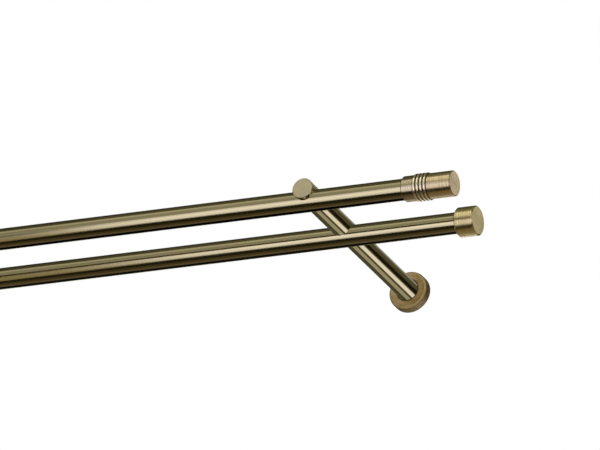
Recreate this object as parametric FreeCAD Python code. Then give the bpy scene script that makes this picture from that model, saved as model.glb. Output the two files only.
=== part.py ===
import FreeCAD, Part
import math
import os

# Double curtain pole: two round inner-track tubes hung side by side under a pair of wall arms.
# Millimetres. X runs along the tubes, Y points into the wall and Z is up.
# The origin is on the wall, midway between the arms, at the height of the arms' axes.

# Tubes
tube_diameter = 20.0
tube_wall = 1.2
tube_length = 1000.0
tube_overhang = 127.5  # from an arm's axis to the tube's end
track_slot = 4.5  # opening along the underside that the gliders hang through
track_floor = 2.6  # height of the flat rails above the tube's lowest line

# Arms
arm_diameter = 20.0
rear_reach = 143.0  # from the wall to the rear tube's axis
front_reach = 221.0  # from the wall to the front tube's axis
seat_lip = 3.3  # the arm reaches this far below the tubes' axes, which keeps them in
seat_clearance = 0.1
arm_end_wall = 4.5  # thinnest metal in front of the front tube
arm_edge = 0.4

# Wall discs
disc_thickness = 4.0
spigot_diameter = 12.0
spigot_length = 24.0
spigot_edge = 0.8
spigot_flat = 0.5  # depth of the flat that the arm's screw bears on
spigot_clearance = 0.1
spigot_end_gap = 1.0
hole_diameter = 4.0
countersink_diameter = 6.8
countersink_margin = 0.25  # from a countersink to the disc's rim

# Rosettes
rosette_diameter = 38.2
rosette_thickness = 9.0
rosette_wall = 1.65
rosette_edge = 2.0
rosette_clearance = 0.15  # on the wall disc and on the arm

# Front finials
finial_wall = 1.8  # metal around the tube at the neck
finial_neck = 11.8
finial_barrel = 24.0
finial_socket = 29.8
finial_neck_edge = 1.2
finial_end_edge = 0.8
ring_count = 4
ring_pitch = 3.5
ring_height = 1.0  # crest above the neck and the barrel
ring_groove = 0.3  # groove below them

# Rear caps
cap_wall = 3.8  # metal around the tube
cap_length = 19.0
cap_socket = 11.8
cap_edge = 1.2

socket_clearance = 0.1  # between a tube and the finial or cap over it

# Grub screws
screw_diameter = 5.0
screw_clearance = 0.05
screw_tip_edge = 0.8
screw_hexagon = 2.5  # across flats
screw_hexagon_depth = 2.0
screw_recess = 0.6  # from a screw's top to the arm's top line
arm_screw_setback = 9.0  # from the rosette's face to the arm's lock screw

Vector = FreeCAD.Vector
along = Vector(1, 0, 0)
outward = Vector(0, -1, 0)
up = Vector(0, 0, 1)

tube_radius = tube_diameter / 2
arm_radius = arm_diameter / 2
seat_drop = arm_radius - seat_lip
arm_place = tube_length / 2 - tube_overhang
arm_front = front_reach + tube_radius + seat_clearance + arm_end_wall
arm_screw_reach = rosette_thickness + arm_screw_setback
socket_radius = tube_radius + socket_clearance
disc_radius = rosette_diameter / 2 - rosette_wall - rosette_clearance


def at(distance, radius):
    return Vector(distance, radius, 0)


def lines(points):
    return [Part.LineSegment(start, end).toShape() for start, end in zip(points, points[1:])]


def arc(start, middle, end):
    return Part.Arc(start, middle, end).toShape()


def turned(edges):
    # a half section in distance and radius, turned about its own axis
    return Part.Face(Part.Wire(edges)).revolve(Vector(), along, 360)


def placed(shape, spot, axis):
    shape.Placement = FreeCAD.Placement(spot, FreeCAD.Rotation(along, axis))
    return shape


def tube_axis(reach):
    return Vector(0, -reach, -seat_drop)


def track_tube(reach):
    # one extruded section: a round tube with a slot below and flat rails beside it
    lip = track_slot / 2
    lip_drop = math.sqrt(tube_radius**2 - lip**2)
    bore = tube_radius - tube_wall
    rail_drop = tube_radius - track_floor
    rail_side = math.sqrt(bore**2 - rail_drop**2)

    def spot(side, height):
        return tube_axis(reach) + Vector(-tube_length / 2, side, height)

    outer = arc(spot(lip, -lip_drop), spot(0, tube_radius), spot(-lip, -lip_drop))
    left_rail = lines([spot(-lip, -lip_drop), spot(-lip, -rail_drop), spot(-rail_side, -rail_drop)])
    inner = arc(spot(-rail_side, -rail_drop), spot(0, bore), spot(rail_side, -rail_drop))
    right_rail = lines([spot(rail_side, -rail_drop), spot(lip, -rail_drop), spot(lip, -lip_drop)])
    section = Part.Face(Part.Wire([outer, *left_rail, inner, *right_rail]))
    return section.extrude(along * tube_length)


def finial():
    radius = socket_radius + finial_wall
    crest = radius + ring_height
    groove = radius - ring_groove
    rings_end = finial_neck + ring_count * ring_pitch
    end = rings_end + finial_barrel
    edges = lines([
        at(finial_socket, 0),
        at(finial_socket, socket_radius),
        at(0, socket_radius),
        at(0, radius - finial_neck_edge),
        at(finial_neck_edge, radius),
        at(finial_neck, radius),
        at(finial_neck, groove),
    ])
    for ring in range(ring_count):
        start = finial_neck + ring * ring_pitch
        edges.append(arc(at(start, groove), at(start + ring_pitch / 2, crest), at(start + ring_pitch, groove)))
    edges += lines([
        at(rings_end, groove),
        at(rings_end, radius),
        at(end - finial_end_edge, radius),
        at(end, radius - finial_end_edge),
        at(end, 0),
        at(finial_socket, 0),
    ])
    return turned(edges)


def cap():
    radius = socket_radius + cap_wall
    return turned(lines([
        at(cap_socket, 0),
        at(cap_socket, socket_radius),
        at(0, socket_radius),
        at(0, radius - cap_edge),
        at(cap_edge, radius),
        at(cap_length - cap_edge, radius),
        at(cap_length, radius - cap_edge),
        at(cap_length, 0),
        at(cap_socket, 0),
    ]))


def end_piece(shape, reach, side, socket):
    # the tube's end seats on the floor of the socket
    spot = tube_axis(reach) + along * side * (tube_length / 2 - socket)
    return placed(shape, spot, along * side)


def tapped_hole(spot, length):
    return Part.makeCylinder(screw_diameter / 2, length, spot, up)


def arm(place):
    bore = spigot_diameter / 2 + spigot_clearance
    bore_end = disc_thickness + spigot_length + spigot_end_gap
    bar = placed(turned(lines([
        at(disc_thickness, bore),
        at(disc_thickness, arm_radius),
        at(arm_front - arm_edge, arm_radius),
        at(arm_front, arm_radius - arm_edge),
        at(arm_front, 0),
        at(bore_end, 0),
        at(bore_end, bore),
        at(disc_thickness, bore),
    ])), Vector(place, 0, 0), outward)
    cuts = [tapped_hole(Vector(place, -arm_screw_reach, 0), arm_diameter)]
    for reach in (rear_reach, front_reach):
        axis = tube_axis(reach) + along * place
        seat_radius = tube_radius + seat_clearance
        cuts.append(Part.makeCylinder(seat_radius, 2 * arm_diameter, axis - along * arm_diameter, along))
        cuts.append(tapped_hole(axis, arm_diameter))
    return bar.cut(cuts)


def wall_disc(place):
    spigot = spigot_diameter / 2
    spigot_end = disc_thickness + spigot_length
    disc = placed(turned(lines([
        at(0, 0),
        at(0, disc_radius),
        at(disc_thickness, disc_radius),
        at(disc_thickness, spigot),
        at(spigot_end - spigot_edge, spigot),
        at(spigot_end, spigot - spigot_edge),
        at(spigot_end, 0),
        at(0, 0),
    ])), Vector(place, 0, 0), outward)
    flat_corner = Vector(place - spigot, -spigot_end, spigot - spigot_flat)
    cuts = [Part.makeBox(spigot_diameter, spigot_length, spigot_diameter, flat_corner)]
    # the screw heads sit at the disc's rim, so that they clear the arm
    hole = hole_diameter / 2
    countersink = countersink_diameter / 2
    hole_height = disc_radius - countersink_margin - countersink
    sink_depth = countersink - hole
    for height in (-hole_height, hole_height):
        centre = Vector(place, 0, height)
        cuts.append(Part.makeCylinder(hole, disc_thickness, centre, outward))
        sink_start = centre + outward * (disc_thickness - sink_depth)
        cuts.append(Part.makeCone(hole, countersink, sink_depth, sink_start, outward))
    return disc.cut(cuts)


def rosette(place):
    # a shallow turned cup over the wall disc, with the arm passing through it
    radius = rosette_diameter / 2
    cup = disc_radius + rosette_clearance
    bore = arm_radius + rosette_clearance
    floor = rosette_thickness - rosette_wall
    bend = rosette_edge * math.sqrt(0.5)
    bend_centre = at(rosette_thickness - rosette_edge, radius - rosette_edge)
    edges = lines([
        at(floor, bore),
        at(floor, cup),
        at(0, cup),
        at(0, radius),
        at(rosette_thickness - rosette_edge, radius),
    ])
    edges.append(arc(
        bend_centre + at(0, rosette_edge), bend_centre + at(bend, bend), bend_centre + at(rosette_edge, 0)))
    edges += lines([
        at(rosette_thickness, radius - rosette_edge),
        at(rosette_thickness, bore),
        at(floor, bore),
    ])
    return placed(turned(edges), Vector(place, 0, 0), outward)


def grub_screw(tip):
    # stands upright on its tip, with a hexagon socket in its top
    length = arm_radius - screw_recess - tip.z
    radius = screw_diameter / 2 - screw_clearance
    screw = turned(lines([
        at(0, 0),
        at(0, radius - screw_tip_edge),
        at(screw_tip_edge, radius),
        at(length, radius),
        at(length, 0),
        at(0, 0),
    ]))
    corner = screw_hexagon / math.sqrt(3)
    floor = length - screw_hexagon_depth
    turns = [math.radians(60 * step) for step in range(7)]
    hexagon = [Vector(floor, corner * math.cos(turn), corner * math.sin(turn)) for turn in turns]
    socket = Part.Face(Part.makePolygon(hexagon)).extrude(along * length)
    return placed(screw.cut(socket), tip, up)


def tube_screws(places):
    top = tube_radius - seat_drop + screw_clearance
    tips = [Vector(place, -reach, top) for place in places for reach in (rear_reach, front_reach)]
    return Part.makeCompound([grub_screw(tip) for tip in tips])


def arm_screws(places):
    top = spigot_diameter / 2 - spigot_flat
    tips = [Vector(place, -arm_screw_reach, top) for place in places]
    return Part.makeCompound([grub_screw(tip) for tip in tips])


def pieces():
    yield "front_tube", track_tube(front_reach)
    yield "rear_tube", track_tube(rear_reach)
    sides = {"left": -1, "right": 1}
    for name, side in sides.items():
        yield f"front_finial_{name}", end_piece(finial(), front_reach, side, finial_socket)
        yield f"rear_cap_{name}", end_piece(cap(), rear_reach, side, cap_socket)
        yield f"bracket_arm_{name}", arm(side * arm_place)
        yield f"wall_disc_{name}", wall_disc(side * arm_place)
        yield f"rosette_{name}", rosette(side * arm_place)
    places = [side * arm_place for side in sides.values()]
    yield "tube_screws", tube_screws(places)
    yield "arm_screws", arm_screws(places)


os.makedirs("parts", exist_ok=True)
for name, shape in pieces():
    shape.exportStep(f"parts/{name}.step")
    print(f"{name}: {len(shape.Solids)} solids, {shape.Volume:.0f} mm3, valid {shape.isValid()}")
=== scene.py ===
import math

import bpy
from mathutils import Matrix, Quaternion, Vector


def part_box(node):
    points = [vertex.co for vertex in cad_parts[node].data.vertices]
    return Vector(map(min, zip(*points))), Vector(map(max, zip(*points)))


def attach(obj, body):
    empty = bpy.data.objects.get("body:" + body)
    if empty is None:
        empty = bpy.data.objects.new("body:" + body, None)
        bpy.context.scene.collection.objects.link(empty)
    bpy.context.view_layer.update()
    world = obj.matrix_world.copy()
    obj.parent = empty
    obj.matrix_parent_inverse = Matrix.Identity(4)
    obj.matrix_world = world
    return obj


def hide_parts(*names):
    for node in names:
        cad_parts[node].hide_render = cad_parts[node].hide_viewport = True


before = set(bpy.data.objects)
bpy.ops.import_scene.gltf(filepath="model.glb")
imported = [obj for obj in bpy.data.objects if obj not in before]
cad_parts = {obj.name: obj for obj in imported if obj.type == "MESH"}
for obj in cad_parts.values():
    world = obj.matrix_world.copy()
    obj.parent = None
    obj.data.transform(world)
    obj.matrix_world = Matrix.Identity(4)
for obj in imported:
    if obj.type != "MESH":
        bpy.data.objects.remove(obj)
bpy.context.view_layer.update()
mm = 0.001
mergeGap = 0.002 * mm  # vertices closer than this become one
smoothDegrees = 30  # edges that turn less than this are shaded smooth
noiseLow, noiseHigh = 0.3, 0.7  # most of a noise texture's values lie between these
quarterTurn = 0.25  # of the stretched highlight, so that it runs across the lathe lines
alongTubes = Vector((1, 0, 0))
outward = Vector((0, -1, 0))  # from the wall into the room
upward = Vector((0, 0, 1))


# small helpers

def linearColour(hexText):
    # sRGB hex to linear, with full alpha
    channels = [int(hexText[i:i + 2], 16) / 255 for i in (1, 3, 5)]
    return [c / 12.92 if c <= 0.04045 else ((c + 0.055) / 1.055) ** 2.4 for c in channels] + [1.0]


def inMetres(sizes):
    return [size * mm for size in sizes]


def scaled(shape):
    # a piece's sizes in metres; its counts and angles are read from the dictionary itself
    return {key: value * mm for key, value in shape.items()}


def addNode(tree, kind, inputs=None, **settings):
    node = tree.nodes.new(kind)
    for key, value in settings.items():
        setattr(node, key, value)
    for key, value in (inputs or {}).items():
        if isinstance(value, bpy.types.NodeSocket):
            tree.links.new(value, node.inputs[key])
        else:
            node.inputs[key].default_value = value
    return node


def newMaterial(name):
    material = bpy.data.materials.new(name)
    material.use_nodes = True
    material.node_tree.nodes.clear()
    return material, material.node_tree


def deselectAll():
    if bpy.context.mode != "OBJECT":
        bpy.ops.object.mode_set(mode="OBJECT")
    bpy.ops.object.select_all(action="DESELECT")


def onlySelect(thing):
    deselectAll()
    thing.select_set(True)
    bpy.context.view_layer.objects.active = thing


def pullProfile(points):
    # a plane shrunk to one vertex, then pulled from point to point
    deselectAll()
    bpy.ops.mesh.primitive_plane_add(size=mm, location=(0, 0, 0))
    bpy.ops.object.mode_set(mode="EDIT")
    bpy.ops.mesh.select_all(action="SELECT")
    bpy.ops.mesh.merge(type="CENTER")
    bpy.ops.transform.translate(value=points[0])
    for start, end in zip(points, points[1:]):
        bpy.ops.mesh.extrude_region_move(TRANSFORM_OT_translate={"value": end - start})
    bpy.ops.mesh.select_all(action="SELECT")
    return bpy.context.object


def arcPoints(centre, radius, fromDegrees, toDegrees, steps):
    sweep = toDegrees - fromDegrees
    turns = [math.radians(fromDegrees + sweep * i / steps) for i in range(steps + 1)]
    return [(centre[0] + radius * math.cos(t), centre[1] + radius * math.sin(t)) for t in turns]


def closeMesh():
    bpy.ops.mesh.select_all(action="SELECT")
    bpy.ops.mesh.remove_doubles(threshold=mergeGap)
    bpy.ops.mesh.normals_make_consistent(inside=False)
    bpy.ops.object.mode_set(mode="OBJECT")


def latheTurn(profile, foot, axis, segments):
    # pairs of distance and radius, spun round the axis through foot
    thing = pullProfile([foot + axis * distance + upward * radius for distance, radius in profile])
    bpy.ops.mesh.spin(steps=segments, angle=math.tau, center=foot, axis=axis)
    closeMesh()
    return thing


def applyModifier(thing, kind, **settings):
    onlySelect(thing)
    modifier = thing.modifiers.new(kind.title(), kind)
    for key, value in settings.items():
        setattr(modifier, key, value)
    bpy.ops.object.modifier_apply(modifier=modifier.name)


def softenEdges(thing, shape, segments=3):
    applyModifier(thing, "BEVEL", width=shape["softEdge"] * mm, segments=segments, limit_method="ANGLE",
                  angle_limit=math.radians(shape["softDegrees"]))


def roundCutter(radius, start, end, sides):
    line = end - start
    deselectAll()
    bpy.ops.mesh.primitive_cylinder_add(vertices=sides, radius=radius, depth=line.length,
                                        location=(start + end) / 2,
                                        rotation=line.to_track_quat("Z", "Y").to_euler())
    bpy.ops.object.transform_apply(location=True, rotation=True, scale=True)
    return bpy.context.object


def cutAway(thing, tools):
    for tool in tools:
        applyModifier(thing, "BOOLEAN", operation="DIFFERENCE", object=tool, solver="EXACT")
        bpy.data.objects.remove(tool)


def finishPiece(thing, name, node, material):
    thing.name = name
    thing.data.name = name
    onlySelect(thing)
    bpy.ops.object.transform_apply(location=True, rotation=True, scale=True)
    bpy.ops.object.shade_smooth_by_angle(angle=math.radians(smoothDegrees))
    # long faces stay straight up to their soft edges
    applyModifier(thing, "WEIGHTED_NORMAL", keep_sharp=True)
    thing.data.materials.clear()
    thing.data.materials.append(material)
    # bands run on past the joints, and only the front tube is mirrored
    thing.visible_glossy = node == "front_tube"
    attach(thing, "root")
    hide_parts(node)


def secondFinish(thing, material, chosen):
    thing.data.materials.append(material)
    for face in thing.data.polygons:
        if chosen(face.center):
            face.material_index = 1


def copyMoved(thing, shift):
    onlySelect(thing)
    bpy.ops.object.duplicate()
    bpy.ops.transform.translate(value=shift)
    return bpy.context.object


def copyTurned(thing, centre):
    # half a turn about the upright line through centre
    onlySelect(thing)
    bpy.ops.object.duplicate()
    bpy.ops.transform.rotate(value=math.pi, orient_axis="Z", center_override=centre)
    return bpy.context.object


def tubeAxis(node):
    # a point on the tube's axis at the middle of the part, and the tube's radius
    low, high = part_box(node)
    radius = (high.y - low.y) / 2
    return Vector((0, (low.y + high.y) / 2, high.z - radius)), radius


# materials; a roughness is a pair, the lowest and the highest that the pattern reaches

def drawnBrass(name, lengthwise, roughness):
    # antique brass tube and bar drawn through a die: a satin shine, with faint lines along the length
    look = {"light": "#c5ba8f", "dark": "#b5a87d", "cloudMm": 45, "lineMm": 1.2, "lineLengthMm": 500,
            "lineShare": 0.5, "bump": 0.06, "bumpMm": 0.02}
    material, tree = newMaterial(name)
    place = addNode(tree, "ShaderNodeTexCoord").outputs["Object"]
    cloud = addNode(tree, "ShaderNodeTexNoise", {
        "Vector": place, "Scale": 1 / (look["cloudMm"] * mm), "Detail": 3.0})
    stretch = [1 / (look["lineMm"] * mm)] * 3  # wider than real draw lines, so that they show
    stretch["XYZ".index(lengthwise)] = 1 / (look["lineLengthMm"] * mm)
    lines = addNode(tree, "ShaderNodeMapping", {"Vector": place, "Scale": stretch})
    draw = addNode(tree, "ShaderNodeTexNoise", {
        "Vector": lines.outputs["Vector"], "Scale": 1.0, "Detail": 2.0})
    tone = addNode(tree, "ShaderNodeMix", {
        "Factor": look["lineShare"], "A": cloud.outputs["Fac"], "B": draw.outputs["Fac"]})
    colour = addNode(tree, "ShaderNodeMix", {
        "Factor": tone.outputs["Result"], "A": linearColour(look["light"]), "B": linearColour(look["dark"])},
        data_type="RGBA")
    rough = addNode(tree, "ShaderNodeMapRange", {
        "Value": draw.outputs["Fac"], "From Min": noiseLow, "From Max": noiseHigh,
        "To Min": roughness[0], "To Max": roughness[1]})
    bump = addNode(tree, "ShaderNodeBump", {
        "Height": draw.outputs["Fac"], "Strength": look["bump"], "Distance": look["bumpMm"] * mm})
    shader = addNode(tree, "ShaderNodeBsdfPrincipled", {
        "Base Color": colour.outputs["Result"], "Metallic": 1.0, "Roughness": rough.outputs["Result"],
        "Normal": bump.outputs["Normal"]})
    addNode(tree, "ShaderNodeOutputMaterial", {"Surface": shader.outputs["BSDF"]})
    return material


def paintedShadeBrass(name):
    # painted shade: the inside of the tube and its slot walls are painted near black, where little light
    # reaches; dull, with brown clouds
    look = {"light": "#1c1812", "dark": "#0c0a07", "cloudMm": 6, "roughness": (0.5, 0.7)}
    material, tree = newMaterial(name)
    place = addNode(tree, "ShaderNodeTexCoord").outputs["Object"]
    cloud = addNode(tree, "ShaderNodeTexNoise", {
        "Vector": place, "Scale": 1 / (look["cloudMm"] * mm), "Detail": 3.0})
    colour = addNode(tree, "ShaderNodeMix", {
        "Factor": cloud.outputs["Fac"], "A": linearColour(look["light"]), "B": linearColour(look["dark"])},
        data_type="RGBA")
    rough = addNode(tree, "ShaderNodeMapRange", {
        "Value": cloud.outputs["Fac"], "From Min": noiseLow, "From Max": noiseHigh,
        "To Min": look["roughness"][0], "To Max": look["roughness"][1]})
    shader = addNode(tree, "ShaderNodeBsdfPrincipled", {
        "Base Color": colour.outputs["Result"], "Metallic": 1.0, "Roughness": rough.outputs["Result"]})
    addNode(tree, "ShaderNodeOutputMaterial", {"Surface": shader.outputs["BSDF"]})
    return material


def facedBrass(name):
    # brass faced off on a lathe: dull, with rings round the middle that spread the light
    look = {"light": "#d6cba6", "dark": "#c4b790", "cloudMm": 7, "roughness": (0.5, 0.6), "stretch": 0.6}
    material, tree = newMaterial(name)
    place = addNode(tree, "ShaderNodeTexCoord").outputs["Object"]
    cloud = addNode(tree, "ShaderNodeTexNoise", {
        "Vector": place, "Scale": 1 / (look["cloudMm"] * mm), "Detail": 3.0})
    colour = addNode(tree, "ShaderNodeMix", {
        "Factor": cloud.outputs["Fac"], "A": linearColour(look["light"]), "B": linearColour(look["dark"])},
        data_type="RGBA")
    rough = addNode(tree, "ShaderNodeMapRange", {
        "Value": cloud.outputs["Fac"], "From Min": noiseLow, "From Max": noiseHigh,
        "To Min": look["roughness"][0], "To Max": look["roughness"][1]})
    rings = addNode(tree, "ShaderNodeTangent", direction_type="RADIAL", axis="Y")
    shader = addNode(tree, "ShaderNodeBsdfPrincipled", {
        "Base Color": colour.outputs["Result"], "Metallic": 1.0, "Roughness": rough.outputs["Result"],
        "Anisotropic": look["stretch"], "Anisotropic Rotation": quarterTurn,
        "Tangent": rings.outputs["Tangent"]})
    addNode(tree, "ShaderNodeOutputMaterial", {"Surface": shader.outputs["BSDF"]})
    return material


def turnedBrass(name, look, axisSpot):
    # antique brass turned on a lathe: fine lines round the axis; on the rings, a painted highlight on the
    # crests and painted shade in the grooves
    material, tree = newMaterial(name)
    place = addNode(tree, "ShaderNodeTexCoord").outputs["Object"]
    cloud = addNode(tree, "ShaderNodeTexNoise", {
        "Vector": place, "Scale": 1 / (look["cloudMm"] * mm), "Detail": 3.0})
    offset = addNode(tree, "ShaderNodeVectorMath", {0: place, 1: axisSpot}, operation="SUBTRACT")
    parts = addNode(tree, "ShaderNodeSeparateXYZ", {"Vector": offset.outputs["Vector"]})
    flat = addNode(tree, "ShaderNodeCombineXYZ", {"Y": parts.outputs["Y"], "Z": parts.outputs["Z"]})
    radius = addNode(tree, "ShaderNodeVectorMath", {0: flat.outputs["Vector"]}, operation="LENGTH")
    travel = addNode(tree, "ShaderNodeMath", {
        0: parts.outputs["X"], 1: radius.outputs["Value"]}, operation="ADD")
    lathe = addNode(tree, "ShaderNodeTexNoise", {
        "W": travel.outputs["Value"], "Scale": 1 / (look["lineMm"] * mm), "Detail": 1.0},
        noise_dimensions="1D")  # wider than real lathe lines, so that they show
    tone = addNode(tree, "ShaderNodeMix", {
        "Factor": look["lineShare"], "A": cloud.outputs["Fac"], "B": lathe.outputs["Fac"]})
    spread = addNode(tree, "ShaderNodeMapRange", {
        "Value": tone.outputs["Result"], "From Min": noiseLow, "From Max": noiseHigh})
    colour = addNode(tree, "ShaderNodeMix", {
        "Factor": spread.outputs["Result"], "A": linearColour(look["light"]), "B": linearColour(look["dark"])},
        data_type="RGBA").outputs["Result"]
    rough = addNode(tree, "ShaderNodeMapRange", {
        "Value": lathe.outputs["Fac"], "From Min": noiseLow, "From Max": noiseHigh,
        "To Min": look["roughness"][0], "To Max": look["roughness"][1]}).outputs["Result"]
    if "ringsFromMm" in look:
        distance = addNode(tree, "ShaderNodeMath", {0: parts.outputs["X"]}, operation="ABSOLUTE")
        run = addNode(tree, "ShaderNodeMath", {
            0: distance.outputs["Value"], 1: look["ringsFromMm"] * mm}, operation="SUBTRACT")
        rise = addNode(tree, "ShaderNodeMath", {
            0: run.outputs["Value"], 1: look["ringPitchMm"] * mm / 2}, operation="PINGPONG")
        grooveFrom, grooveTo = inMetres(look["grooveMm"])
        groove = addNode(tree, "ShaderNodeMapRange", {
            "Value": rise.outputs["Value"], "From Min": grooveFrom, "From Max": grooveTo,
            "To Min": look["grooveDark"], "To Max": 0.0})
        crestFrom, crestTo = inMetres(look["crestMm"])
        crest = addNode(tree, "ShaderNodeMapRange", {
            "Value": rise.outputs["Value"], "From Min": crestFrom, "From Max": crestTo})
        middle = look["ringPitchMm"] * look["rings"] * mm / 2
        ringed = addNode(tree, "ShaderNodeMath", {
            0: run.outputs["Value"], 1: middle, 2: middle + grooveTo}, operation="COMPARE")
        # a painted highlight on the crests, then painted shade in the grooves
        for mask, tint in ((crest, "paintedHighlight"), (groove, "paintedShade")):
            share = addNode(tree, "ShaderNodeMath", {
                0: mask.outputs["Result"], 1: ringed.outputs["Value"]}, operation="MULTIPLY")
            colour = addNode(tree, "ShaderNodeMix", {
                "Factor": share.outputs["Value"], "A": colour, "B": linearColour(look[tint])},
                data_type="RGBA").outputs["Result"]
        # the neck before the rings has a finer polish
        neck = addNode(tree, "ShaderNodeMath", {
            0: run.outputs["Value"], 1: 0.0}, operation="LESS_THAN").outputs["Value"]
        colour = addNode(tree, "ShaderNodeMix", {
            "Factor": neck, "A": colour, "B": linearColour(look["neck"])}, data_type="RGBA").outputs["Result"]
        rough = addNode(tree, "ShaderNodeMath", {
            0: neck, 1: -look["neckPolish"], 2: rough}, operation="MULTIPLY_ADD").outputs["Value"]
    bump = addNode(tree, "ShaderNodeBump", {
        "Height": lathe.outputs["Fac"], "Strength": look["bump"], "Distance": look["bumpMm"] * mm})
    rings = addNode(tree, "ShaderNodeTangent", direction_type="RADIAL", axis="X")
    shader = addNode(tree, "ShaderNodeBsdfPrincipled", {
        "Base Color": colour, "Metallic": 1.0, "Roughness": rough,
        "Anisotropic": look["stretch"], "Anisotropic Rotation": quarterTurn,
        "Tangent": rings.outputs["Tangent"], "Normal": bump.outputs["Normal"]})
    addNode(tree, "ShaderNodeOutputMaterial", {"Surface": shader.outputs["BSDF"]})
    return material


def mottledBrass(name, armPlace):
    # antique brass dulled by hand: a matt brown face with cloudy spots and painted shade that darkens it away
    # from the pole's middle and downwards, a painted highlight on the rubbed rounded edge, and painted shade on
    # the side and round the arm's joint
    look = {"light": "#bda67c", "dark": "#8f7440", "cloudMm": 9, "spotMm": 2.5, "shadeLeanMm": 110,
            "toneSpan": (0.25, 0.75), "roughness": (0.39, 0.53), "bump": 0.2, "bumpMm": 0.05,
            # a painted highlight on the rounded edge, painted shade on the side and round the arm
            "paintedHighlight": "#cab27e", "rimMm": (16.4, 18.2), "rimRough": 0.2,
            "paintedShade": "#33270f", "sideMm": (18.5, 19.05), "sideDark": 0.4,
            "jointMm": (10.6, 12.0), "jointDark": 0.95}
    material, tree = newMaterial(name)
    place = addNode(tree, "ShaderNodeTexCoord").outputs["Object"]
    parts = addNode(tree, "ShaderNodeSeparateXYZ", {"Vector": place})
    distance = addNode(tree, "ShaderNodeMath", {0: parts.outputs["X"]}, operation="ABSOLUTE")
    sideways = addNode(tree, "ShaderNodeMath", {
        0: distance.outputs["Value"], 1: armPlace}, operation="SUBTRACT")
    flat = addNode(tree, "ShaderNodeCombineXYZ", {"X": sideways.outputs["Value"], "Z": parts.outputs["Z"]})
    radius = addNode(tree, "ShaderNodeVectorMath", {
        0: flat.outputs["Vector"]}, operation="LENGTH").outputs["Value"]
    cloud = addNode(tree, "ShaderNodeTexNoise", {
        "Vector": place, "Scale": 1 / (look["cloudMm"] * mm), "Detail": 4.0})
    spots = addNode(tree, "ShaderNodeTexNoise", {
        "Vector": place, "Scale": 1 / (look["spotMm"] * mm), "Detail": 2.0})
    # painted shade: darker away from the middle of the pole and downwards
    slope = addNode(tree, "ShaderNodeMath", {
        0: sideways.outputs["Value"], 1: parts.outputs["Z"]}, operation="SUBTRACT")
    shadeLean = addNode(tree, "ShaderNodeMath", {
        0: slope.outputs["Value"], 1: 1 / (look["shadeLeanMm"] * mm), 2: cloud.outputs["Fac"]},
        operation="MULTIPLY_ADD")
    spread = addNode(tree, "ShaderNodeMapRange", {
        "Value": shadeLean.outputs["Value"], "From Min": look["toneSpan"][0], "From Max": look["toneSpan"][1]})
    colour = addNode(tree, "ShaderNodeMix", {
        "Factor": spread.outputs["Result"], "A": linearColour(look["light"]), "B": linearColour(look["dark"])},
        data_type="RGBA")
    rimFrom, rimTo = inMetres(look["rimMm"])
    rim = addNode(tree, "ShaderNodeMapRange", {"Value": radius, "From Min": rimFrom, "From Max": rimTo})
    sideFrom, sideTo = inMetres(look["sideMm"])
    side = addNode(tree, "ShaderNodeMapRange", {
        "Value": radius, "From Min": sideFrom, "From Max": sideTo, "To Max": look["sideDark"]})
    jointFrom, jointTo = inMetres(look["jointMm"])
    joint = addNode(tree, "ShaderNodeMapRange", {
        "Value": radius, "From Min": jointFrom, "From Max": jointTo,
        "To Min": look["jointDark"], "To Max": 0.0})
    # painted highlight on the rounded edge, then painted shade on the side and round the arm
    for mask, tint in ((rim, "paintedHighlight"), (side, "paintedShade"), (joint, "paintedShade")):
        colour = addNode(tree, "ShaderNodeMix", {
            "Factor": mask.outputs["Result"], "A": colour.outputs["Result"], "B": linearColour(look[tint])},
            data_type="RGBA")
    grain = addNode(tree, "ShaderNodeMapRange", {
        "Value": spots.outputs["Fac"], "From Min": noiseLow, "From Max": noiseHigh,
        "To Min": look["roughness"][0], "To Max": look["roughness"][1]})
    rough = addNode(tree, "ShaderNodeMath", {
        0: rim.outputs["Result"], 1: look["rimRough"], 2: grain.outputs["Result"]}, operation="MULTIPLY_ADD")
    bump = addNode(tree, "ShaderNodeBump", {
        "Height": spots.outputs["Fac"], "Strength": look["bump"], "Distance": look["bumpMm"] * mm})
    shader = addNode(tree, "ShaderNodeBsdfPrincipled", {
        "Base Color": colour.outputs["Result"], "Metallic": 1.0, "Roughness": rough.outputs["Value"],
        "Normal": bump.outputs["Normal"]})
    addNode(tree, "ShaderNodeOutputMaterial", {"Surface": shader.outputs["BSDF"]})
    return material


def platedSteel(name, look):
    # plated or blackened steel: a fine even grain, neither bright nor flat
    material, tree = newMaterial(name)
    place = addNode(tree, "ShaderNodeTexCoord").outputs["Object"]
    grain = addNode(tree, "ShaderNodeTexNoise", {
        "Vector": place, "Scale": 1 / (look["grainMm"] * mm), "Detail": 3.0})
    colour = addNode(tree, "ShaderNodeMix", {
        "Factor": grain.outputs["Fac"], "A": linearColour(look["light"]), "B": linearColour(look["dark"])},
        data_type="RGBA")
    rough = addNode(tree, "ShaderNodeMapRange", {
        "Value": grain.outputs["Fac"], "From Min": noiseLow, "From Max": noiseHigh,
        "To Min": look["roughness"][0], "To Max": look["roughness"][1]})
    shader = addNode(tree, "ShaderNodeBsdfPrincipled", {
        "Base Color": colour.outputs["Result"], "Metallic": 1.0, "Roughness": rough.outputs["Result"]})
    addNode(tree, "ShaderNodeOutputMaterial", {"Surface": shader.outputs["BSDF"]})
    return material


# tubes

tubeShape = {"wall": 1.2, "slot": 4.5, "floor": 2.6, "outerSteps": 140, "innerSteps": 60,
             "softEdge": 0.25, "softDegrees": 40}
tubeBrass = drawnBrass("drawn antique brass tube", "X", (0.105, 0.135))
# painted shade for the inside of the tubes and their slots
insideShadeBrass = paintedShadeBrass("inside painted as shade")


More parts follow.
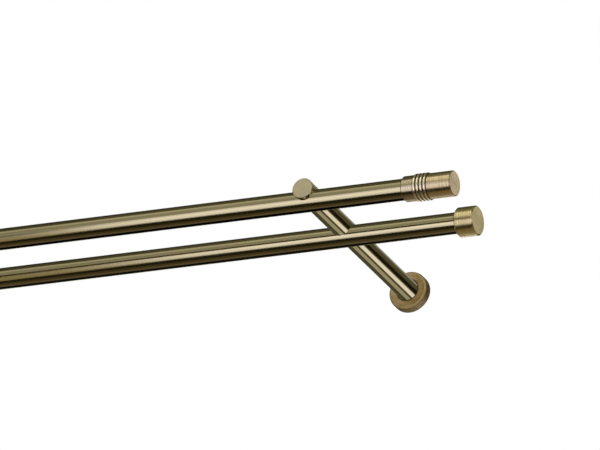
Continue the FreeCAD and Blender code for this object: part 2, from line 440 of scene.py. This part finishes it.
def makeTube():
    low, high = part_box("front_tube")
    axis, radius = tubeAxis("front_tube")
    foot = axis + alongTubes * low.x
    lip = tubeShape["slot"] * mm / 2
    bore = radius - tubeShape["wall"] * mm
    railDrop = radius - tubeShape["floor"] * mm
    lipTurn = math.degrees(math.asin(lip / radius))
    railTurn = math.degrees(math.acos(railDrop / bore))
    outline = arcPoints((0, 0), radius, -90 + lipTurn, 270 - lipTurn, tubeShape["outerSteps"])
    outline.append((-lip, -railDrop))
    outline += arcPoints((0, 0), bore, 270 - railTurn, -90 + railTurn, tubeShape["innerSteps"])
    outline.append((lip, -railDrop))
    thing = pullProfile([foot + Vector((0, side, height)) for side, height in outline])
    bpy.ops.mesh.edge_face_add()
    bpy.ops.mesh.extrude_region_move(TRANSFORM_OT_translate={"value": alongTubes * (high.x - low.x)})
    closeMesh()
    softenEdges(thing, tubeShape)
    return thing


def finishTube(thing, name, node):
    axis, radius = tubeAxis(node)
    reach = radius - tubeShape["softEdge"] * mm
    finishPiece(thing, name, node, tubeBrass)
    # faces inside the tube get the near-black painted shade
    secondFinish(thing, insideShadeBrass, lambda spot: math.hypot(spot.y - axis.y, spot.z - axis.z) < reach)


frontTube = makeTube()
rearTube = copyMoved(frontTube, tubeAxis("rear_tube")[0] - tubeAxis("front_tube")[0])
finishTube(frontTube, "frontTube", "front_tube")
finishTube(rearTube, "rearTube", "rear_tube")
print("tubes made")


# arms

armShape = {"bore": 6.1, "boreEnd": 29.0, "edge": 0.4, "seatGap": 0.1, "seatReach": 13.0, "frontInset": 2.0,
            "screwHole": 2.5, "screwReach": 18.0, "sides": 192, "holeSides": 48,
            "softEdge": 0.12, "softDegrees": 30}
armBrass = drawnBrass("drawn antique brass bar", "Y", (0.085, 0.115))
endBrass = facedBrass("faced antique brass end")


def makeArm():
    low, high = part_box("bracket_arm_right")
    shape = scaled(armShape)
    radius = (high.x - low.x) / 2
    foot = Vector(((low.x + high.x) / 2, 0, (low.z + high.z) / 2))
    start, end = -high.y, -low.y
    seats = [tubeAxis(tube) for tube in ("rear_tube", "front_tube")]
    profile = [(start, shape["bore"]), (start, radius)]
    for axis, _ in seats:  # rings beside each seat keep the long faces out of the cut
        front = min(-axis.y + shape["seatReach"], end - shape["frontInset"])
        profile += [(-axis.y - shape["seatReach"], radius), (front, radius)]
    profile += [(end - shape["edge"], radius), (end, radius - shape["edge"]), (end, 0),
                (shape["boreEnd"], 0), (shape["boreEnd"], shape["bore"]), (start, shape["bore"])]
    arm = latheTurn(profile, foot, outward, armShape["sides"])
    past = 2 * radius  # every cut runs out well past the bar
    tools = []
    for axis, tubeRadius in seats:
        seat = axis + alongTubes * foot.x
        tools.append(roundCutter(tubeRadius + shape["seatGap"], seat - alongTubes * past,
                                 seat + alongTubes * past, armShape["sides"]))
        tools.append(roundCutter(shape["screwHole"], seat, seat + upward * (past + radius),
                                 armShape["holeSides"]))
    lock = foot + outward * shape["screwReach"]
    tools.append(roundCutter(shape["screwHole"], lock, lock + upward * past, armShape["holeSides"]))
    cutAway(arm, tools)
    softenEdges(arm, armShape)
    return arm


def finishArm(thing, name, node):
    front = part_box(node)[0].y + armShape["edge"] * mm / 2
    finishPiece(thing, name, node, armBrass)
    secondFinish(thing, endBrass, lambda spot: spot.y < front)


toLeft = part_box("bracket_arm_left")[0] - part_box("bracket_arm_right")[0]
rightArm = makeArm()
leftArm = copyMoved(rightArm, toLeft)
finishArm(rightArm, "bracketArmRight", "bracket_arm_right")
finishArm(leftArm, "bracketArmLeft", "bracket_arm_left")
print("arms made")


# front finials

finialShape = {"neck": 11.8, "barrel": 24.0, "socket": 29.8, "socketGap": 0.1, "neckEdge": 1.2, "endEdge": 0.8,
               "rings": 4, "ringPitch": 3.5, "ringHeight": 1.0, "ringGroove": 0.3, "ringSteps": 12,
               "sides": 144, "softEdge": 0.1, "softDegrees": 25}
finialLook = {"light": "#e2cfa4", "dark": "#c4ac7e", "cloudMm": 14, "lineMm": 1.1, "lineShare": 0.6,
              "roughness": (0.23, 0.34), "stretch": 0.8, "bump": 0.05, "bumpMm": 0.02,
              "ringsFromMm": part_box("front_finial_right")[0].x / mm + finialShape["neck"],
              "ringPitchMm": finialShape["ringPitch"], "rings": finialShape["rings"],
              # the ring grooves get painted shade and the crests a painted highlight
              "paintedShade": "#3a2b1a", "grooveMm": (0.25, 0.8), "grooveDark": 0.85,
              "paintedHighlight": "#fff2cc", "crestMm": (0.6, 1.1), "neck": "#c4b593", "neckPolish": 0.09}
finialBrass = turnedBrass("turned antique brass finial", finialLook, tubeAxis("front_tube")[0])


def makeFinial():
    low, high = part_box("front_finial_right")
    shape = scaled(finialShape)
    crest = (high.z - low.z) / 2
    radius = crest - shape["ringHeight"]
    groove = radius - shape["ringGroove"]
    length = high.x - low.x
    foot = (low + high) / 2 - alongTubes * length / 2
    socket = tubeAxis("front_tube")[1] + shape["socketGap"]
    profile = [(shape["socket"], 0), (shape["socket"], socket), (0, socket), (0, radius - shape["neckEdge"]),
               (shape["neckEdge"], radius), (shape["neck"], radius)]
    half = shape["ringPitch"] / 2
    rise = crest - groove
    ringRadius = (half ** 2 + rise ** 2) / (2 * rise)
    swing = math.degrees(math.asin(half / ringRadius))
    for ring in range(finialShape["rings"]):
        middle = (shape["neck"] + (2 * ring + 1) * half, crest - ringRadius)
        bow = arcPoints(middle, ringRadius, 90 + swing, 90 - swing, finialShape["ringSteps"])
        profile += bow[ring > 0:]  # a ring starts where the one before it ends
    profile += [(length - shape["barrel"], radius), (length - shape["endEdge"], radius),
                (length, radius - shape["endEdge"]), (length, 0)]
    thing = latheTurn(profile, foot, alongTubes, finialShape["sides"])
    softenEdges(thing, finialShape)
    return thing


rightFinial = makeFinial()
leftFinial = copyTurned(rightFinial, tubeAxis("front_tube")[0])
finishPiece(rightFinial, "frontFinialRight", "front_finial_right", finialBrass)
finishPiece(leftFinial, "frontFinialLeft", "front_finial_left", finialBrass)
print("finials made")


# rear caps

capShape = {"socket": 11.8, "socketGap": 0.1, "chamfer": 1.2, "sides": 144, "softEdge": 0.15, "softDegrees": 25}
capLook = {"light": "#e8d8a4", "dark": "#c8b57b", "cloudMm": 14, "lineMm": 1.1, "lineShare": 0.6,
           "roughness": (0.27, 0.38), "stretch": 0.8, "bump": 0.05, "bumpMm": 0.02}
capBrass = turnedBrass("turned antique brass cap", capLook, tubeAxis("rear_tube")[0])


def makeCap():
    low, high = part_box("rear_cap_right")
    shape = scaled(capShape)
    radius = (high.z - low.z) / 2
    length = high.x - low.x
    foot = (low + high) / 2 - alongTubes * length / 2
    socket = tubeAxis("rear_tube")[1] + shape["socketGap"]
    chamfer = shape["chamfer"]
    profile = [(shape["socket"], 0), (shape["socket"], socket), (0, socket), (0, radius - chamfer),
               (chamfer, radius), (length - chamfer, radius), (length, radius - chamfer), (length, 0)]
    thing = latheTurn(profile, foot, alongTubes, capShape["sides"])
    softenEdges(thing, capShape)
    return thing


rightCap = makeCap()
leftCap = copyTurned(rightCap, tubeAxis("rear_tube")[0])
finishPiece(rightCap, "rearCapRight", "rear_cap_right", capBrass)
finishPiece(leftCap, "rearCapLeft", "rear_cap_left", capBrass)
print("caps made")


# rosettes

rosetteShape = {"wall": 1.65, "round": 2.0, "boreGap": 0.15, "sides": 144, "roundSteps": 8,
                "softEdge": 0.2, "softDegrees": 40}
armLow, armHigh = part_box("bracket_arm_right")
rosetteBrass = mottledBrass("dulled antique brass rosette", (armLow.x + armHigh.x) / 2)


def makeRosette():
    low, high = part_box("rosette_right")
    shape = scaled(rosetteShape)
    bore = (armHigh.x - armLow.x) / 2 + shape["boreGap"]
    radius = (high.x - low.x) / 2
    thickness = high.y - low.y
    foot = Vector(((low.x + high.x) / 2, high.y, (low.z + high.z) / 2))
    cup = radius - shape["wall"]
    floor = thickness - shape["wall"]
    bend = shape["round"]
    profile = [(floor, bore), (floor, cup), (0, cup), (0, radius)]
    profile += arcPoints((thickness - bend, radius - bend), bend, 90, 0, rosetteShape["roundSteps"])
    profile += [(thickness, bore), (floor, bore)]
    thing = latheTurn(profile, foot, outward, rosetteShape["sides"])
    softenEdges(thing, rosetteShape)
    return thing


rightRosette = makeRosette()
leftRosette = copyMoved(rightRosette, toLeft)
finishPiece(rightRosette, "rosetteRight", "rosette_right", rosetteBrass)
finishPiece(leftRosette, "rosetteLeft", "rosette_left", rosetteBrass)
print("rosettes made")


# wall discs and grub screws keep their CAD shapes

zincLook = {"light": "#c9cbcc", "dark": "#a9acad", "grainMm": 3, "roughness": (0.3, 0.43)}
blackLook = {"light": "#3c3a37", "dark": "#262523", "grainMm": 1, "roughness": (0.35, 0.48)}
zincSteel = platedSteel("zinc plated steel", zincLook)
blackSteel = platedSteel("blackened steel", blackLook)
for node, material in {"wall_disc_left": zincSteel, "wall_disc_right": zincSteel,
                       "tube_screws": blackSteel, "arm_screws": blackSteel}.items():
    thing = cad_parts[node]
    thing.data.materials.clear()
    thing.data.materials.append(material)
    thing.visible_glossy = False
print("discs and screws finished")


# studio

cardShape = {"stepDegrees": 4, "fewestSteps": 2}


def studioCard(name, start, end, centre, axis, sweep, level):
    # an edge spun into a curved or fan-shaped card that shows only in the metal
    card = pullProfile([start, end])
    steps = max(cardShape["fewestSteps"], round(sweep / cardShape["stepDegrees"]))
    bpy.ops.mesh.spin(steps=steps, angle=math.radians(sweep), center=centre, axis=axis)
    bpy.ops.object.mode_set(mode="OBJECT")
    card.name = name
    material, tree = newMaterial(name)
    glow = addNode(tree, "ShaderNodeEmission", {"Color": (*level, 1.0), "Strength": 1.0})
    addNode(tree, "ShaderNodeOutputMaterial", {"Surface": glow.outputs["Emission"]})
    material.cycles.emission_sampling = "NONE"
    card.data.materials.append(material)
    card.visible_camera = card.visible_diffuse = card.visible_shadow = False


# long cards round the tubes, in metres: turn 0 is towards the room, 90 is up
tent = {"radius": 2.2, "middle": Vector((0, -0.18, 0)), "zones": (-5.0, -0.915, -0.3, 0.4, 5.0),
        "hole": 0.01, "endTint": (0.6, 0.54, 0.38)}
# each band: its turns, its tint, and its level in the four zones along the tubes, or None for no card
tentBands = {"underCard": (-185, -150, (1, 0.97, 0.9), (0.2, 0.2, 1.0, 0.25)),
             "lowCard": (-150, -128, (1, 0.9, 0.8), (0.2, 0.2, 0.75, 0.25)),
             "tanCard": (-128, -104, (1, 0.82, 0.6), (0.16, 0.16, 0.42, 0.2)),
             "brownCard": (-104, -80, (1, 0.8, 0.45), (0.085, 0.085, 0.43, 0.15)),
             "duskCard": (-80, -70, (1, 0.85, 0.5), (0.025, 0.025, 0.15, 0.1)),
             "blackCard": (-70, -48, (1, 0.9, 0.5), (None, 0.02, 0.04, 0.05)),
             "softboxRim": (-48, -41, (1, 1, 1.24), (None, 0.5, 0.6, 0.5)),
             "softboxLow": (-41, -24, (1, 1, 1.24), (None, 1.28, 1.2, 0.9)),
             "softbox": (-24, -8, (1, 1, 1.24), (None, 1.52, 1.2, 0.9)),
             "softboxEdge": (-8, 4, (1, 1, 1.24), (None, 1.14, 0.7, 0.55)),
             "blackTail": (-70, -54, (1, 0.9, 0.5), (0.02, None, None, None)),
             "softboxTail": (-54, -12, (1, 0.86, 0.48), (0.32, None, None, None)),
             "softboxTailEdge": (-12, 4, (1, 0.86, 0.48), (0.12, None, None, None)),
             "dimCard": (4, 20, (1, 1, 0.93), (0.4, 0.4, 0.8, 0.4)),
             "greyCardLow": (20, 39, (1, 1, 0.93), (0.36, 0.4, 1.95, 0.5)),
             "greyCardHigh": (39, 59, (1, 1, 0.93), (0.57, 0.65, 1.9, 0.65)),
             "eavesCard": (59, 92, (1, 0.97, 0.65), (0.09, 0.12, 0.3, 0.2)),
             "ceilingCard": (92, 140, (1, 0.95, 0.7), (0.055, 0.06, 0.1, 0.15)),
             "backCard": (140, 168, (1, 1, 1), (0.1, 0.1, 0.1, 0.68))}
for name, (lowTurn, highTurn, tint, levels) in tentBands.items():
    turn = math.radians(lowTurn)
    sweep = highTurn - lowTurn
    spoke = Vector((0, -math.cos(turn), math.sin(turn)))
    rim = tent["middle"] + spoke * tent["radius"]
    for zone, level in enumerate(levels):
        if level is None:
            continue
        fromX, toX = tent["zones"][zone:zone + 2]
        studioCard(f"{name}{zone}", rim + alongTubes * fromX, rim + alongTubes * toX, tent["middle"],
                   alongTubes, sweep, [level * part for part in tint])
    if levels[1] is None:
        continue
    endLevel = [levels[1] * part * end for part, end in zip(tint, tent["endTint"])]
    for place in (tent["zones"][0], tent["zones"][-1]):  # the bands go on across the tent's ends, dimmer
        hub = tent["middle"] + alongTubes * place
        studioCard(f"{name}End{place:+.0f}", hub + spoke * tent["hole"], hub + spoke * tent["radius"], hub,
                   alongTubes, sweep, endLevel)

# fans of cards behind each arm, in metres: turn 0 is along the tubes, 90 is up
fan = {"behind": 0.06, "inner": 0.03, "outer": 0.232}
# each card: its turns and its level
fanCards = {"fanSoftbox": (-66, -31, (1.38, 1.38, 1.7)), "fanBlack": (-22, 16, (0.02, 0.016, 0.008)),
            "fanBrown": (16, 70, (0.13, 0.12, 0.08)), "fanGrey": (70, 110, (0.38, 0.38, 0.36)),
            "fanOlive": (-86, -66, (0.11, 0.1, 0.07)), "fanLow": (-126, -86, (0.54, 0.54, 0.48)),
            "fanDark": (110, 234, (0.1, 0.095, 0.06))}
for side in ("left", "right"):
    low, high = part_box(f"bracket_arm_{side}")
    hub = Vector(((low.x + high.x) / 2, fan["behind"], (low.z + high.z) / 2))
    for name, (lowTurn, highTurn, level) in fanCards.items():
        turn = math.radians(lowTurn)
        spoke = Vector((math.cos(turn), 0, math.sin(turn)))
        studioCard(f"{name}{side.title()}", hub + spoke * fan["inner"], hub + spoke * fan["outer"], hub,
                   -outward, highTurn - lowTurn, level)

floorShape = {"size": 60.0, "drop": 2.6, "colour": "#efeeec"}


def makeFloor():
    deselectAll()
    bpy.ops.mesh.primitive_plane_add(size=floorShape["size"], location=-upward * floorShape["drop"])
    floor = bpy.context.object
    floor.name = "floor"
    material, tree = newMaterial("pale floor")
    paint = addNode(tree, "ShaderNodeBsdfDiffuse", {"Color": linearColour(floorShape["colour"])})
    clear = addNode(tree, "ShaderNodeBsdfTransparent")
    below = addNode(tree, "ShaderNodeNewGeometry")  # seen from below the floor is clear
    mix = addNode(tree, "ShaderNodeMixShader", {
        0: below.outputs["Backfacing"], 1: paint.outputs["BSDF"], 2: clear.outputs["BSDF"]})
    addNode(tree, "ShaderNodeOutputMaterial", {"Surface": mix.outputs["Shader"]})
    floor.data.materials.append(material)


makeFloor()
world = bpy.data.worlds.new("white tent")
bpy.context.scene.world = world
world.use_nodes = True
background = world.node_tree.nodes["Background"]
background.inputs["Color"].default_value = (1, 1, 1, 1)
background.inputs["Strength"].default_value = 1.0
print("studio made")


# camera: angles in degrees, aim and lens in millimetres, distances in metres

cameraSetup = {"azimuth": 27.83, "elevation": -24.76, "roll": 5.45, "distance": 12.0, "clipEnd": 100,
               "lens": 779.4, "aim": (286.85, -70.62, 48.72)}


def makeCamera():
    turn = math.radians(cameraSetup["azimuth"])
    lift = math.radians(cameraSetup["elevation"])
    back = Vector((math.sin(turn) * math.cos(lift), -math.cos(turn) * math.cos(lift), math.sin(lift)))
    deselectAll()
    bpy.ops.object.camera_add()
    camera = bpy.context.object
    camera.data.lens = cameraSetup["lens"]
    camera.data.clip_end = cameraSetup["clipEnd"]
    camera.location = Vector(cameraSetup["aim"]) * mm + back * cameraSetup["distance"]
    camera.rotation_mode = "QUATERNION"
    roll = Quaternion((0, 0, 1), math.radians(cameraSetup["roll"]))
    camera.rotation_quaternion = (-back).to_track_quat("-Z", "Y") @ roll
    bpy.context.scene.camera = camera


makeCamera()
bpy.context.scene.view_settings.view_transform = "Standard"
print("camera made")
